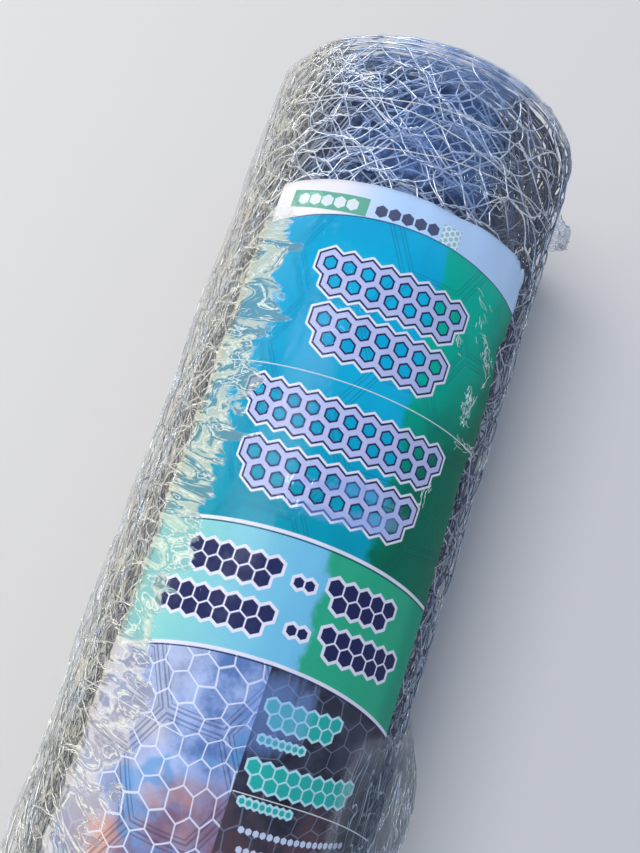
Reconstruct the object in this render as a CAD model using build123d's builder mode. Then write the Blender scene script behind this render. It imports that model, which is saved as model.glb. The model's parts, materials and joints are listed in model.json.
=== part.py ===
# Roll of hexagonal wire netting with its printed label, in clear shrink film.
#
# Millimetres. The roll lies on its side on a level floor, along Y, with +Z up.
# The origin is on the floor, under the middle of the roll.
# The +Y end is the head end, where the label starts.
import os
from math import cos, degrees, pi, radians, sin, sqrt

from build123d import *

# The netting as it is sold: a strip 36 in wide and 50 ft long, wound up tight.
NETTING_WIDTH = 914.4
NETTING_LENGTH = 15240.0

# The wound roll. The bore is the hole that the winding mandrel leaves.
ROLL_DIAMETER = 166.0
BORE_DIAMETER = 50.0
RIM_ROUNDING = 6.0  # the outer turns slip back at the ends and round the rim
TURNS_PER_RIDGE = 2  # turns that nest into one another show as one ridge on the ends
RIDGE_HEIGHT = 1.6

# The paper label lies on the netting, under the film.
LABEL_WIDTH = 132.0  # around the roll
LABEL_LENGTH = 480.0  # along the roll
LABEL_THICKNESS = 0.3
LABEL_END_MARGIN = 69.0  # bare netting between the head end and the label
LABEL_TURN = 6.0  # degrees from the top of the roll to the label's middle line

# The film sleeve shrinks over both rims and leaves a round mouth at each end.
FILM_THICKNESS = 0.4
FILM_MOUTH_DIAMETER = 104.0
FILM_RIM_FACETS = 4  # the film is drawn straight from crest to crest over the rim

# The air between neighbouring layers.
LAYER_CLEARANCE = 0.3

# Radii of the layers, from the inside out.
bore_radius = BORE_DIAMETER / 2
roll_radius = ROLL_DIAMETER / 2
label_inner_radius = roll_radius + LAYER_CLEARANCE
label_outer_radius = label_inner_radius + LABEL_THICKNESS
film_inner_radius = label_outer_radius + LAYER_CLEARANCE
film_outer_radius = film_inner_radius + FILM_THICKNESS
film_mouth_radius = FILM_MOUTH_DIAMETER / 2
half_width = NETTING_WIDTH / 2

# The roll rests on the film.
roll_axis_height = film_outer_radius
roll_axis = Axis((0, 0, roll_axis_height), (0, 1, 0))


def section_plane(turn):
    """A plane through the roll's axis: its x runs along the roll and its y outwards.

    turn is the angle in degrees from the top of the roll, positive towards +X.
    """
    outwards = Vector(0, 0, 1).rotate(Axis.Y, turn)
    along = Vector(0, 1, 0)
    return Plane(
        origin=(0, 0, roll_axis_height), x_dir=along, z_dir=along.cross(outwards)
    )


def rim_setback(radius):
    """How far the netting's end lies behind the flat of the end at this radius.

    It is nothing up to the rounded rim, which is a quarter of a circle.
    """
    into_rim = max(0, radius - (roll_radius - RIM_ROUNDING))
    return RIM_ROUNDING - sqrt(RIM_ROUNDING**2 - into_rim**2)


# Every turn takes the same thickness: the area of the wound ring is shared out
# along the whole strip. The ridges fill each end from the bore to the rim.
turn_pitch = pi * (roll_radius**2 - bore_radius**2) / NETTING_LENGTH
ridges = round((roll_radius - bore_radius) / (TURNS_PER_RIDGE * turn_pitch))
ridge_pitch = (roll_radius - bore_radius) / ridges


def end_ridges(end):
    """Profile points across one end, from the bore to the outside of the roll.

    Grooves and crests take turns, half a pitch apart, and follow the rounded rim.
    end is 1 at the head end and -1 at the other.
    """
    points = []
    for step in range(2 * ridges):
        radius = bore_radius + step * ridge_pitch / 2
        groove = RIDGE_HEIGHT if step % 2 == 0 else 0
        points.append((end * (half_width - rim_setback(radius) - groove), radius))
    points.append((end * (half_width - RIM_ROUNDING), roll_radius))
    return points


with BuildPart() as netting_roll:
    with BuildSketch(section_plane(0)):
        with BuildLine():
            head_end = Polyline(*end_ridges(1))
            foot_end = Polyline(*end_ridges(-1))
            Line(head_end @ 1, foot_end @ 1)
            Line(foot_end @ 0, head_end @ 0)
        make_face()
    revolve(axis=roll_axis)
netting_roll.part.label = "netting_roll"

# The label is as wide as its arc on the roll, and it is turned a little off the top.
label_arc = degrees(LABEL_WIDTH / label_inner_radius)
label_middle = half_width - LABEL_END_MARGIN - LABEL_LENGTH / 2

with BuildPart() as label:
    with BuildSketch(section_plane(LABEL_TURN - label_arc / 2)):
        with Locations((label_middle, label_inner_radius)):
            Rectangle(LABEL_LENGTH, LABEL_THICKNESS, align=(Align.CENTER, Align.MIN))
    revolve(axis=roll_axis, revolution_arc=label_arc)
label.part.label = "label"


def film_face(end, radius):
    """Profile points of one face of the film, from its mouth to the side of the roll.

    The face keeps the same distance from the netting on the end, the rim and the side.
    end is 1 at the head end and -1 at the other, and radius is the face's own radius.
    """
    rim_radius = radius - roll_radius + RIM_ROUNDING
    points = [(end * (half_width - RIM_ROUNDING + rim_radius), film_mouth_radius)]
    for facet in range(FILM_RIM_FACETS + 1):
        turn = radians(90 * facet / FILM_RIM_FACETS)
        along = half_width - RIM_ROUNDING + rim_radius * cos(turn)
        points.append((end * along, roll_radius - RIM_ROUNDING + rim_radius * sin(turn)))
    return points


with BuildPart() as film_wrap:
    with BuildSketch(section_plane(0)):
        with BuildLine():
            outside_head = Polyline(*film_face(1, film_outer_radius))
            outside_foot = Polyline(*film_face(-1, film_outer_radius))
            inside_head = Polyline(*film_face(1, film_inner_radius))
            inside_foot = Polyline(*film_face(-1, film_inner_radius))
            Line(outside_head @ 1, outside_foot @ 1)
            Line(inside_head @ 1, inside_foot @ 1)
            Line(outside_head @ 0, inside_head @ 0)
            Line(outside_foot @ 0, inside_foot @ 0)
        make_face()
    revolve(axis=roll_axis)
film_wrap.part.label = "film_wrap"

os.makedirs("parts", exist_ok=True)
for piece in (netting_roll, label, film_wrap):
    export_step(piece.part, f"parts/{piece.part.label}.step")

overall = film_wrap.part.bounding_box().size
print(f"turn pitch {turn_pitch:.3f} mm, {ridges} ridges on each end, {ridge_pitch:.3f} mm apart")
print(f"overall {overall.X:.1f} x {overall.Y:.1f} x {overall.Z:.1f} mm")
print(f"bore wall {NETTING_WIDTH - 2 * RIDGE_HEIGHT:.1f} mm long")
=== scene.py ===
# %% [markdown]
# # A roll of chicken wire
#
# The real thing is one strip of galvanized hexagonal netting, 36 in wide and 50 ft long,
# wound up tight. A printed paper label lies on it, and a clear shrink film holds it all.
# The frame that is loaded here has a plain solid for each of the three, at its real size.
# This lesson gives them their looks: it winds real netting, prints the label and
# stretches the film. Everything is in metres, and the roll lies along Y.

# %% Load the frame
import json
from math import pi

import bpy
import numpy as np
from mathutils import Euler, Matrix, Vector


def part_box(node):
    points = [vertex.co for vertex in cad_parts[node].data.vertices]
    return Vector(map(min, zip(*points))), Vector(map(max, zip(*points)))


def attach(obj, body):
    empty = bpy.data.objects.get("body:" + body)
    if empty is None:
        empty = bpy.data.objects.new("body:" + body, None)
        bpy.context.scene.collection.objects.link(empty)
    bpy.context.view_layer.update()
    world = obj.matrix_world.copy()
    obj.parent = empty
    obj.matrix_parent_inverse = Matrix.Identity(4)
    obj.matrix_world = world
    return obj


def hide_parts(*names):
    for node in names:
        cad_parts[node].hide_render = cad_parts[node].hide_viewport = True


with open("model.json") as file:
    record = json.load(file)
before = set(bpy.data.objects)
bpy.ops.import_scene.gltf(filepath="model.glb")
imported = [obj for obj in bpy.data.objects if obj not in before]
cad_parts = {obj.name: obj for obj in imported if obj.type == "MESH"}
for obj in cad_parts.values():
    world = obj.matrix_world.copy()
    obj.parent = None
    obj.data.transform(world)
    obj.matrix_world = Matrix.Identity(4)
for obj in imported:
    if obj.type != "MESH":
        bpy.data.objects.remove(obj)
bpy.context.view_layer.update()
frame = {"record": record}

# %% [markdown]
# ## The sizes that everything follows
#
# The solids already say how big the roll, the label and the film are, so the lesson
# reads its sizes from them and from the bore in the record. Only what the solids don't
# know, such as the wire and the mesh, is a number here.

# %% Read the roll's sizes
MM = 0.001

film_low, film_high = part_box("film_wrap")
netting_low, netting_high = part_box("netting_roll")
label_low, label_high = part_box("label")
bore = next(m for m in frame["record"]["mounts"] if m["name"] == "core_bore")

film_radius = (film_high.z - film_low.z) / 2
axis_height = (film_high.z + film_low.z) / 2
roll_radius = (netting_high.z - netting_low.z) / 2
half_width = netting_high.y
film_end = film_high.y
bore_radius = bore["dims"]["r_mm"] * MM
END_BULGE = 1.5 * MM  # the selvages push the film out at the rim
label_radius = label_high.z - axis_height
label_angles = np.arcsin(np.array([label_low.x, label_high.x]) / label_radius)
print(f"roll radius {roll_radius / MM:.1f} mm, film radius {film_radius / MM:.1f} mm")
print(f"half width {half_width / MM:.1f} mm, bore radius {bore_radius / MM:.1f} mm")

# %% [markdown]
# ## The camera
#
# The photograph was taken standing over the roll and looking almost straight down, with
# the phone turned so that the roll leans across the picture. The camera comes first. Its
# place is measured from the middle of the head end, and its lens is a phone's main camera.

# %% Set the camera
CAMERA_BEHIND_HEAD_END = 204.5 * MM
CAMERA_ABOVE_AXIS = 328.9 * MM
CAMERA_TURNS = np.radians((6.596, -1.417, 18.281))
PHONE_LENS = 26.0  # millimetres, on a sensor 36 mm along the picture's long side

camera = bpy.data.objects.new("camera", bpy.data.cameras.new("camera"))
bpy.context.scene.collection.objects.link(camera)
camera.location = (0, film_end - CAMERA_BEHIND_HEAD_END, axis_height + CAMERA_ABOVE_AXIS)
camera.rotation_euler = Euler(CAMERA_TURNS)
camera.data.lens = PHONE_LENS
camera.data.sensor_width = 36
camera.data.clip_start = 0.01
bpy.context.scene.camera = camera
print("camera at", [round(x, 3) for x in camera.location])

# %% [markdown]
# ## Arithmetic with shader sockets
#
# A print or a patina is a formula over the surface. Written as nodes it is hard to read,
# so this small class wraps one socket and turns Python's own operators into Math nodes.
# Every other kind of node comes from its one method, `node`.


# %% A socket that can be used in a formula
class Field:
    """One output socket of a material's nodes, usable in a formula."""

    def __init__(self, tree, socket):
        self.tree = tree
        self.socket = socket

    def node(self, kind, settings=None, inputs=None, output=0):
        """Add a node: its settings are set first, then the values or links of its inputs."""
        made = self.tree.nodes.new(kind)
        for name, value in (settings or {}).items():
            setattr(made, name, value)
        for name, value in (inputs or {}).items():
            if isinstance(value, Field):
                self.tree.links.new(value.socket, made.inputs[name])
            else:
                made.inputs[name].default_value = value
        return Field(self.tree, made.outputs[output])

    def math(self, operation, *values):
        return self.node("ShaderNodeMath", {"operation": operation}, dict(enumerate(values)))

    def __add__(self, other):
        return self.math("ADD", self, other)

    __radd__ = __add__

    def __sub__(self, other):
        return self.math("SUBTRACT", self, other)

    def __rsub__(self, other):
        return self.math("SUBTRACT", other, self)

    def __mul__(self, other):
        return self.math("MULTIPLY", self, other)

    __rmul__ = __mul__

    def __truediv__(self, other):
        return self.math("DIVIDE", self, other)

    def __abs__(self):
        return self.math("ABSOLUTE", self)

    def __pow__(self, other):
        return self.math("POWER", self, other)

    def floor(self):
        return self.math("FLOOR", self)

    def wraps(self):
        """The part after the decimal point, from 0 to 1, also below zero."""
        return self.math("FLOORED_MODULO", self, 1.0)

    def least(self, other):
        return self.math("MINIMUM", self, other)

    def most(self, other):
        return self.math("MAXIMUM", self, other)

    def rises(self, start, end):
        """0 below start and 1 above end, with a smooth step between. Falls if end < start."""
        return self.node(
            "ShaderNodeMapRange",
            {"interpolation_type": "SMOOTHSTEP"},
            {"Value": self, "From Min": start, "From Max": end},
        )

    def within(self, start, full, fading, end):
        """0 up to start, 1 from full to fading, and 0 from end on, with smooth steps."""
        return self.rises(start, full) * self.rises(end, fading)

    def between(self, low, high):
        """The colour low where this is 0, high where it is 1, and a blend between them."""
        return self.node(
            "ShaderNodeMix", {"data_type": "RGBA"}, {0: self, 6: low, 7: high}, output=2
        )

    def parts(self):
        """The three numbers of a vector."""
        made = self.node("ShaderNodeSeparateXYZ", {}, {0: self}).socket.node
        return [Field(self.tree, socket) for socket in made.outputs]

    def scaled(self, *factors):
        """A vector with each of its three numbers multiplied."""
        return self.node("ShaderNodeVectorMath", {"operation": "MULTIPLY"}, {0: self, 1: factors})

    def bumps(self, strength, distance):
        """The surface's normal, tilted as if this number were its height."""
        inputs = {"Height": self, "Strength": strength, "Distance": distance}
        return self.node("ShaderNodeBump", {}, inputs)

    def cloud(self, scale, detail=3.0, roughness=0.55, distortion=0.0):
        """Smooth noise from 0 to 1, read at this vector; scale is in lumps per metre."""
        inputs = {"Vector": self, "Scale": scale, "Detail": detail}
        inputs |= {"Roughness": roughness, "Distortion": distortion}
        return self.node("ShaderNodeTexNoise", {}, inputs)


def new_material(name, **constants):
    """A Principled material, its vector of Object coordinates, and a way to set what varies.

    What is the same all over the surface is set on the shader's own sockets.
    """
    material = bpy.data.materials.new(name)
    material.use_nodes = True
    tree = material.node_tree
    shader = next(n for n in tree.nodes if n.type == "BSDF_PRINCIPLED")
    for socket, value in constants.items():
        shader.inputs[socket.replace("_", " ")].default_value = value
    place = tree.nodes.new("ShaderNodeTexCoord").outputs["Object"]

    def drive(socket, value):
        tree.links.new(value.socket, shader.inputs[socket])

    return material, Field(tree, place), drive


def ink(red, green, blue):
    """A printed colour, given as it shows on a screen from 0 to 255, in the light's own scale."""
    shown = np.array((red, green, blue)) / 255
    return (*np.where(shown <= 0.04045, shown / 12.92, ((shown + 0.055) / 1.055) ** 2.4), 1.0)


def layered(under, *layers):
    """Colours laid over one another in turn: each layer is (colour, its share from 0 to 1)."""
    for colour, share in layers:
        under = share.between(under, colour)
    return under


print("ink(255, 128, 0) is", np.round(ink(255, 128, 0), 3).tolist())

# %% [markdown]
# ## From arrays to pieces
#
# A wound strip has tens of thousands of wire ends, far too many to place by hand or in a
# loop. Each piece is worked out as whole arrays of points and faces, and one call hands
# them to Blender.


# %% Put arrays into a mesh
def make_piece(name, points, faces, material, slot, replaces):
    """A smooth mesh object from points (n, 3) and a list of arrays of corners (m, 3 or 4)."""
    mesh = bpy.data.meshes.new(name)
    corners = np.concatenate([f.ravel() for f in faces])
    sizes = np.concatenate([np.full(len(f), f.shape[1]) for f in faces])
    starts = np.concatenate([[0], np.cumsum(sizes)[:-1]])
    mesh.vertices.add(len(points))
    mesh.vertices.foreach_set("co", np.asarray(points, np.float32).ravel())
    mesh.loops.add(len(corners))
    mesh.loops.foreach_set("vertex_index", corners.astype(np.int32))
    mesh.polygons.add(len(sizes))
    mesh.polygons.foreach_set("loop_start", starts.astype(np.int32))
    mesh.update(calc_edges=True)
    mesh.validate()
    mesh.shade_smooth()
    mesh.materials.append(material)
    piece = bpy.data.objects.new(name, mesh)
    bpy.context.scene.collection.objects.link(piece)
    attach(piece, "root")
    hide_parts(replaces)
    triangles = int((sizes - 2).sum())
    triangle_counts[name] = triangles
    print(f"{name}: {triangles} triangles")
    return piece


triangle_counts = {}


def point_grid(across_steps, along_steps):
    """Two coordinates that run from 0 to 1 over a grid, and the numbers of its points."""
    sides = np.linspace(0, 1, across_steps + 1), np.linspace(0, 1, along_steps + 1)
    across, along = np.meshgrid(*sides, indexing="ij")
    return across, along, np.arange(across.size).reshape(across.shape)


def grid_faces(corner):
    """The four-cornered faces of a grid of point numbers."""
    faces = [corner[:-1, :-1], corner[1:, :-1], corner[1:, 1:], corner[:-1, 1:]]
    return np.stack(faces, axis=-1).reshape(-1, 4)


def unit(vectors):
    """The same vectors with a length of one."""
    return vectors / np.linalg.norm(vectors, axis=-1, keepdims=True)


def wires(paths, outward, radius, sides=3):
    """Thin round wires along many paths at once, with closed ends.

    paths and outward have the shape (wires, points, 3). A ring of each wire is its point
    plus radius times (cosine of the angle times across, plus its sine times up), where
    across is square to the wire and to outward, and up is square to both.
    """
    count, length, _ = paths.shape
    along = unit(np.gradient(paths, axis=1))
    across = unit(np.cross(along, outward))
    up = np.cross(across, along)
    angles = 2 * pi * np.arange(sides) / sides
    cosines, sines = np.cos(angles)[:, None], np.sin(angles)[:, None]
    ring = cosines * across[:, :, None] + sines * up[:, :, None]
    points = (paths[:, :, None] + radius * ring).reshape(-1, 3)

    corner = np.arange(count * length * sides).reshape(count, length, sides)
    turned = np.roll(corner, -1, axis=2)
    walls = np.stack([corner[:, :-1], corner[:, 1:], turned[:, 1:], turned[:, :-1]], axis=-1)
    return points, [walls.reshape(-1, 4), corner[:, 0], corner[:, -1, ::-1]]


def joined(shapes):
    """Several (points, faces) shapes as one."""
    points, faces, start = [], [], 0
    for shape_points, shape_faces in shapes:
        points.append(shape_points)
        faces += [f + start for f in shape_faces]
        start += len(shape_points)
    return np.concatenate(points), faces


def around_axis(angle, radius, y):
    """A point of the roll: angle from the top towards +X, distance from the axis, and y."""
    return np.stack(
        [radius * np.sin(angle), y + 0 * angle, axis_height + radius * np.cos(angle)], axis=-1
    )


def outwards_at(angle):
    """The direction straight out from the roll's axis."""
    return around_axis(angle, 1.0, 0.0) - (0, 0, axis_height)


def waves(a, b, longest, shortest, count, seed):
    """Gentle unevenness over two coordinates: a sum of waves in random directions.

    Each wave has a random length between the two given, and the sum is about 1 high.
    """
    draw = np.random.default_rng(seed)
    turn = draw.uniform(0, 2 * pi, count)
    size = 2 * pi / np.exp(draw.uniform(np.log(shortest), np.log(longest), count))
    shift = draw.uniform(0, 2 * pi, count)
    total = 0
    for k in range(count):
        total = total + np.cos(size[k] * (a * np.cos(turn[k]) + b * np.sin(turn[k])) + shift[k])
    return total / np.sqrt(count / 2)


def wander(a, *sizes, seed):
    """The same unevenness along one coordinate."""
    return waves(a, 0 * a, *sizes, seed=seed)


# %% [markdown]
# ## The strip and how it is wound
#
# Hexagonal netting is made of wires that twist round each other in pairs. The twists run
# along the strip, so on the roll they lie round it. After each twist the two wires part
# and each meets its next neighbour, half a mesh further across. A heavier edge of straight
# wires, the selvage, runs along both sides of the strip.
#
# The strip is wound from flat coordinates: `u` runs along it from its cut outer end, and
# `v` across it. Rolling it up turns `u` into an angle and a slowly shrinking radius. The
# outermost turns have sprung open a little, most of all on one side, and light gets in
# between them there.

# %% Wind flat coordinates onto the roll
MESH = 25.4 * MM  # between two parallel twists, side by side
ROW = 22.0 * MM  # along the strip, from one row of twists to the next
TWIST = 11.0 * MM  # length of a twist
WIRE = 0.85 * MM
TWIST_RADIUS = 0.55 * WIRE  # from the middle of a twist to each of its two wires
SELVAGE_REACH = 1.9 * MM  # how far the widest turn's edge presses into the film
SLIP = 0.9 * MM  # how far a turn may slip sideways
NARROWING = 6.5 * MM  # how much further in the narrowest turn's edges lie
STRIP_LENGTH = 50 * 304.8 * MM
TURN_PITCH = pi * (roll_radius**2 - bore_radius**2) / STRIP_LENGTH
PROUD = 1.1 * MM  # how far the netting swells out where the label doesn't hold it
HELD_TURNS, HELD_SINK = 0.8, 0.3 * MM  # turns that the film holds out, and how far they sink
SPRUNG_OPEN = 0.2 * MM  # extra depth that the outer turns take up all round
SLACK = 1.4 * MM  # and how much more on the slack side
SLACK_ANGLE = np.radians(-85)  # where the slack side is, from the top towards +X
SLACK_SPREAD = np.radians(38)
CUT_END_ANGLE = np.radians(-42)  # where the strip's outer end lies

meshes_across = round(2 * half_width / MESH)
half_strip = half_width + SELVAGE_REACH
half_mesh = half_strip / meshes_across


def slack(angle):
    """1 on the roll's slack side and 0 away from it: a bell curve of the angle."""
    away = (angle - SLACK_ANGLE + pi) % (2 * pi) - pi
    return np.exp(-((away / SLACK_SPREAD) ** 2))


def lumps(angle, y):
    """How far the slack side stands off in lumps: a sum of waves where it is above zero."""
    lumpy = 0.25 + 0.9 * waves(2.5 * angle * film_radius, y, 0.16, 0.035, 12, seed=92)
    return slack(angle) * lumpy.clip(0, 2.4) * MM


def beside_label(angle, y):
    """1 well away from the label and 0 under it, with a smooth step round its outline."""
    past_sides = np.maximum(label_angles[0] - angle, angle - label_angles[1]) * label_radius
    past_ends = np.maximum(label_low.y - y, y - label_high.y)
    share = (np.maximum(past_sides, past_ends) / (12 * MM)).clip(0, 1)
    return share * share * (3 - 2 * share)


def turn_radius(turns, angle=0.0):
    """Distance from the axis after so many turns from the outside.

    The film holds the outermost turn out all round, so the winding only sinks below it.
    """
    below_outer = np.maximum(turns - HELD_TURNS, 0)
    even = roll_radius - 0.9 * WIRE - HELD_SINK * np.minimum(turns, HELD_TURNS)
    even = even - TURN_PITCH * below_outer - SPRUNG_OPEN * (1 - np.exp(-below_outer / 1.5))
    inner_share = np.clip((even - bore_radius) / (roll_radius - bore_radius), 0, 1)
    return even - SLACK * slack(angle) * (1 - np.exp(-below_outer / 1.3)) * inner_share


LAST_TURN = 45
turn_steps = np.linspace(0, LAST_TURN + 1, (LAST_TURN + 1) * 40)
strip_steps = np.concatenate(
    [[0], np.cumsum(np.diff(turn_steps) * 2 * pi * turn_radius(turn_steps[1:]))]
)


def turns_at(u):
    """How many turns lie outside a point of the strip."""
    return np.interp(u, strip_steps, turn_steps)


def strip_at(*turns):
    """How far along the strip these turns begin."""
    return np.interp(turns, turn_steps, strip_steps)


def settled(turns, v):
    """The place across of a strip that has slipped and been drawn narrower, turn by turn."""
    slipped = SLIP * wander(turns, 9.0, 1.6, 5, seed=3).clip(-1.3, 1.3)
    narrower = NARROWING * (0.45 + 0.4 * wander(turns, 5.0, 0.9, 6, seed=4)).clip(0, 1)
    loosened = 1 - np.exp(-turns / 0.8)
    limit = film_end + END_BULGE - 0.9 * WIRE
    return (v * (1 - loosened * narrower / half_strip) + loosened * slipped).clip(-limit, limit)


def wound(u, v, lift):
    """Flat strip coordinates to the roll: u along, v across from its middle, lift outwards.

    A second point, 1 m from the axis, serves as the direction outwards.
    """
    turns = turns_at(u)
    angle = CUT_END_ANGLE + 2 * pi * turns
    y = settled(turns, v)
    seen_angle = (angle + pi) % (2 * pi) - pi
    swell = (PROUD + 0.8 * lumps(seen_angle, y)) * beside_label(seen_angle, y)
    radius = np.minimum(turn_radius(turns, angle) + lift, roll_radius - 0.4 * WIRE)
    radius = radius + swell * np.exp(-turns / 3)
    return around_axis(angle, radius, y), around_axis(angle, 1.0, 0.0)


print(f"{meshes_across} meshes across, turn pitch {TURN_PITCH / MM:.2f} mm")
print(f"strip on the roll {strip_at(LAST_TURN)[0]:.1f} m")

# %% [markdown]
# ## One wire of the netting
#
# A wire zigzags: at row `i` its place across is a triangle wave of `i`, so after 72 rows
# it has wandered from one edge to the other and turns back. In a twist it goes one and a
# half times round its partner. Handling has bent every mesh a little, so each twist gets
# its own small shift and turn, shared by both of its wires, and each single wire between
# two twists gets its own bow.


# %% Lay the wires of some turns
# What handling has done, in each case along the strip, across it and out of it.
TWIST_SHIFTS = (2.2 * MM, 1.0 * MM, 0.5 * MM)  # to each twist
WIRE_BOWS = (1.7 * MM, 1.3 * MM, 0.6 * MM)  # to each wire between two twists
PUSHES = (3.4 * MM, 2.2 * MM, 0.5 * MM)  # to whole stretches of netting
TWIST_TILT = 0.2  # and how far it has turned each twist, in radians


def netting_paths(first_turn, last_turn, twist_steps, bow_steps, seed):
    """The paths of all the wires between two turns, as (wires, points, 3), and outward."""
    draw = np.random.default_rng(seed)
    first_row, last_row = (strip_at(first_turn, last_turn) / ROW).astype(int)
    rows = np.arange(first_row, last_row + 2)
    period = 2 * meshes_across * 2

    # The place across: 0 at one selvage, and a half mesh more for each step.
    phase = (np.arange(1, period, 2)[:, None] + rows[None, :]) % period
    pair = np.where(phase <= period / 2, phase, period - phase)
    goes_up = phase < period / 2
    at_edge = (pair == 0) | (pair == period / 2)

    # Each twist's own shift and turn, looked up by row and pair.
    shape = (len(rows), period // 2 + 1)
    row_index = np.broadcast_to(np.arange(len(rows)), pair.shape)
    shift_u, shift_v, lift, tilt = (
        draw.normal(0, size, shape)[row_index, pair] for size in (*TWIST_SHIFTS, TWIST_TILT)
    )
    shift_v, tilt = shift_v * ~at_edge, tilt * ~at_edge

    # Inside a twist, from its start at t = 0 to its end at t = 1.
    t = np.linspace(0, 1, twist_steps + 1)
    start = np.where(goes_up, pi, 0)
    start = np.where(pair == 0, 0, np.where(pair == period / 2, pi, start))
    hand = np.where(rows % 2 == 0, 1, -1)[None, :]
    sweep = np.where(at_edge, 2 * pi, 3 * pi) * hand
    turn = start[..., None] + sweep[..., None] * t
    twist_u = (rows * ROW)[None, :, None] + shift_u[..., None] + TWIST * (t - 0.5)
    twist_v = (pair * half_mesh - half_strip + shift_v)[..., None]
    twist_v = twist_v + tilt[..., None] * TWIST * (t - 0.5) + TWIST_RADIUS * np.cos(turn)
    twist_lift = lift[..., None] + TWIST_RADIUS * np.sin(turn)

    # Between two twists: the wire leaves one and turns into the next along a soft S, and
    # handling has bowed it, in the strip and out of it.
    s = np.linspace(0, 1, bow_steps + 2)[1:-1]
    soft = 0.5 * s + 0.5 * s * s * (3 - 2 * s)
    bow = draw.standard_t(3, pair.shape).clip(-3, 3) * WIRE_BOWS[0]
    side_bow = draw.normal(0, WIRE_BOWS[1], pair.shape)
    rise = np.abs(draw.normal(0, WIRE_BOWS[2], pair.shape))
    hump = 4 * s * (1 - s)

    def between(values, share):
        return values[:, :-1, -1:] * (1 - share) + values[:, 1:, :1] * share

    bow = bow * np.where(goes_up, 1, -1)
    bow_u = between(twist_u, s) + bow[:, :-1, None] * hump
    bow_v = between(twist_v, soft) + side_bow[:, :-1, None] * hump
    bow_lift = between(twist_lift, s) + rise[:, :-1, None] * hump

    def in_order(twist, bowed):
        both = np.concatenate([twist[:, :-1], bowed], axis=2)
        return both.reshape(len(twist), -1)

    u, v = in_order(twist_u, bow_u), in_order(twist_v, bow_v)
    out = in_order(twist_lift, bow_lift)

    # Whole stretches of netting are pushed about, more than single meshes are.
    free = 1 - (np.abs(v) / half_strip) ** 8
    u = u + PUSHES[0] * waves(u, v, 0.15, 0.035, 9, seed + 1)
    v = v + PUSHES[1] * waves(u, v, 0.15, 0.035, 9, seed + 2) * free
    out = out + PUSHES[2] * waves(u, v, 0.12, 0.03, 8, seed + 3)
    return wound(u.clip(0), v, out)


paths, outward = netting_paths(0, 1, twist_steps=6, bow_steps=4, seed=10)
print("wires and points on each in the outermost turn:", paths.shape[:2])

# %% [markdown]
# ## Galvanized wire
#
# Zinc on steel is a soft grey metal. It isn't a mirror: the coat has dull patches, so the
# roughness varies from wire to wire and along each one. The outer turns are worn bright.
# The ones below them are a little darker, partly from a dull, pale bloom and partly from
# painted shade between the turns. Painted light tints both: a painted bluish sky reflection
# on top of the head end, a painted warm light on the slack side, and painted shade on the
# tight side, which reaches nearer the outside there and darkens even the outer wires lower
# down that side. Here and on the film, angles are in radians from the top, places along the
# roll in metres, and depths in millimetres.

# %% Finish the wire
galvanized, place, drive = new_material("galvanized_wire")
across, along, up = place.parts()
up = up - axis_height
depth = roll_radius / MM - (across * across + up * up) ** 0.5 / MM
dull = place.cloud(170, detail=2)
turned = across.math("ARCTAN2", across, up)
outer_turns = depth.rises(22, 4) * along.rises(-0.10, 0.10)
# Painted sky reflection: the wires on top of the head end are tinted blue.
painted_sky_top = turned.within(-0.90, -0.50, 0.6, 1.0) * outer_turns * along.rises(0.28, 0.36)
# The tight side, where painted shade darkens the turns below the outer ones.
tight_side = turned.within(0.15, 0.65, 1.9, 2.4) * outer_turns
# Painted shade on the outer wires, lower down the tight side.
painted_shade_low_side = turned.within(0.82, 1.02, 1.9, 2.4) * outer_turns
# The slack side, where a painted warm light tints the wires.
slack_side = turned.within(-2.2, -1.7, -0.90, -0.50) * outer_turns
shiny = dull.rises(0.4, 0.6)
# The outer wires: worn bright, with the painted sky reflection, painted shade and painted warm
# light laid on.
rubbed_with_painted_light = layered(
    shiny.between(ink(204, 210, 218), ink(248, 250, 252)),
    (shiny.between(ink(200, 216, 238), ink(247, 250, 255)), painted_sky_top),
    (ink(140, 158, 182), painted_shade_low_side),
    (ink(246, 240, 224), slack_side * 0.7),
)
# The turns below: a pale bloom, with the painted sky reflection, painted shade on the tight side
# and painted warm light on the slack side.
inner = layered(
    ink(182, 188, 196),
    (ink(188, 210, 246), painted_sky_top),
    (ink(80, 98, 134), tight_side),
    (ink(182, 182, 168), slack_side),
)
# With depth the wires take the colour below, partly bloom and partly painted shade; on the tight
# side the painted shade reaches nearer the outside.
drive("Base Color", (depth * (1.0 + tight_side)).rises(2.0, 8.0).between(rubbed_with_painted_light, inner))
drive("Metallic", 0.88 - 0.5 * depth.rises(0.5, 5.0))
drive("Roughness", 0.17 + 0.3 * dull)
print("wire nodes:", len(galvanized.node_tree.nodes))

# %% Wind the outer turns
def make_netting(name, points, faces):
    """A piece of the netting, in galvanized wire."""
    make_piece(name, points, faces, galvanized, "galvanized_wire", "netting_roll")


TURN_DETAIL = (
    # name, first turn, last turn, steps in a twist, steps in a bow
    ("netting_turn_outer", 0, 1, 8, 4),
    ("netting_turn_second", 1, 2, 8, 3),
    ("netting_turns_upper", 2, 4.4, 4, 1),
    ("netting_turns_middle", 4.4, 8.6, 2, 1),
    ("netting_turns_lower", 8.6, 13, 2, 0),
)
for number, (name, *detail) in enumerate(TURN_DETAIL, 1):
    make_netting(name, *wires(*netting_paths(*detail, seed=10 * number), WIRE / 2))

# %% [markdown]
# ## The selvages and the roll's ends
#
# From the end, a roll of netting is a close spiral: the selvage of every turn, with the
# first zigzag of wire behind it. All 45 turns show there, but nobody sees the middle of
# the inner ones, so they are given only their edges. A dark core stands for the rest, and
# the last two turns line the bore.


# %% Wind the selvages and the zigzags behind them
SELVAGE_TWIST = 38 * MM  # along the strip, in which its two strands go once round
SELVAGE_STEP = 7 * MM


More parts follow.
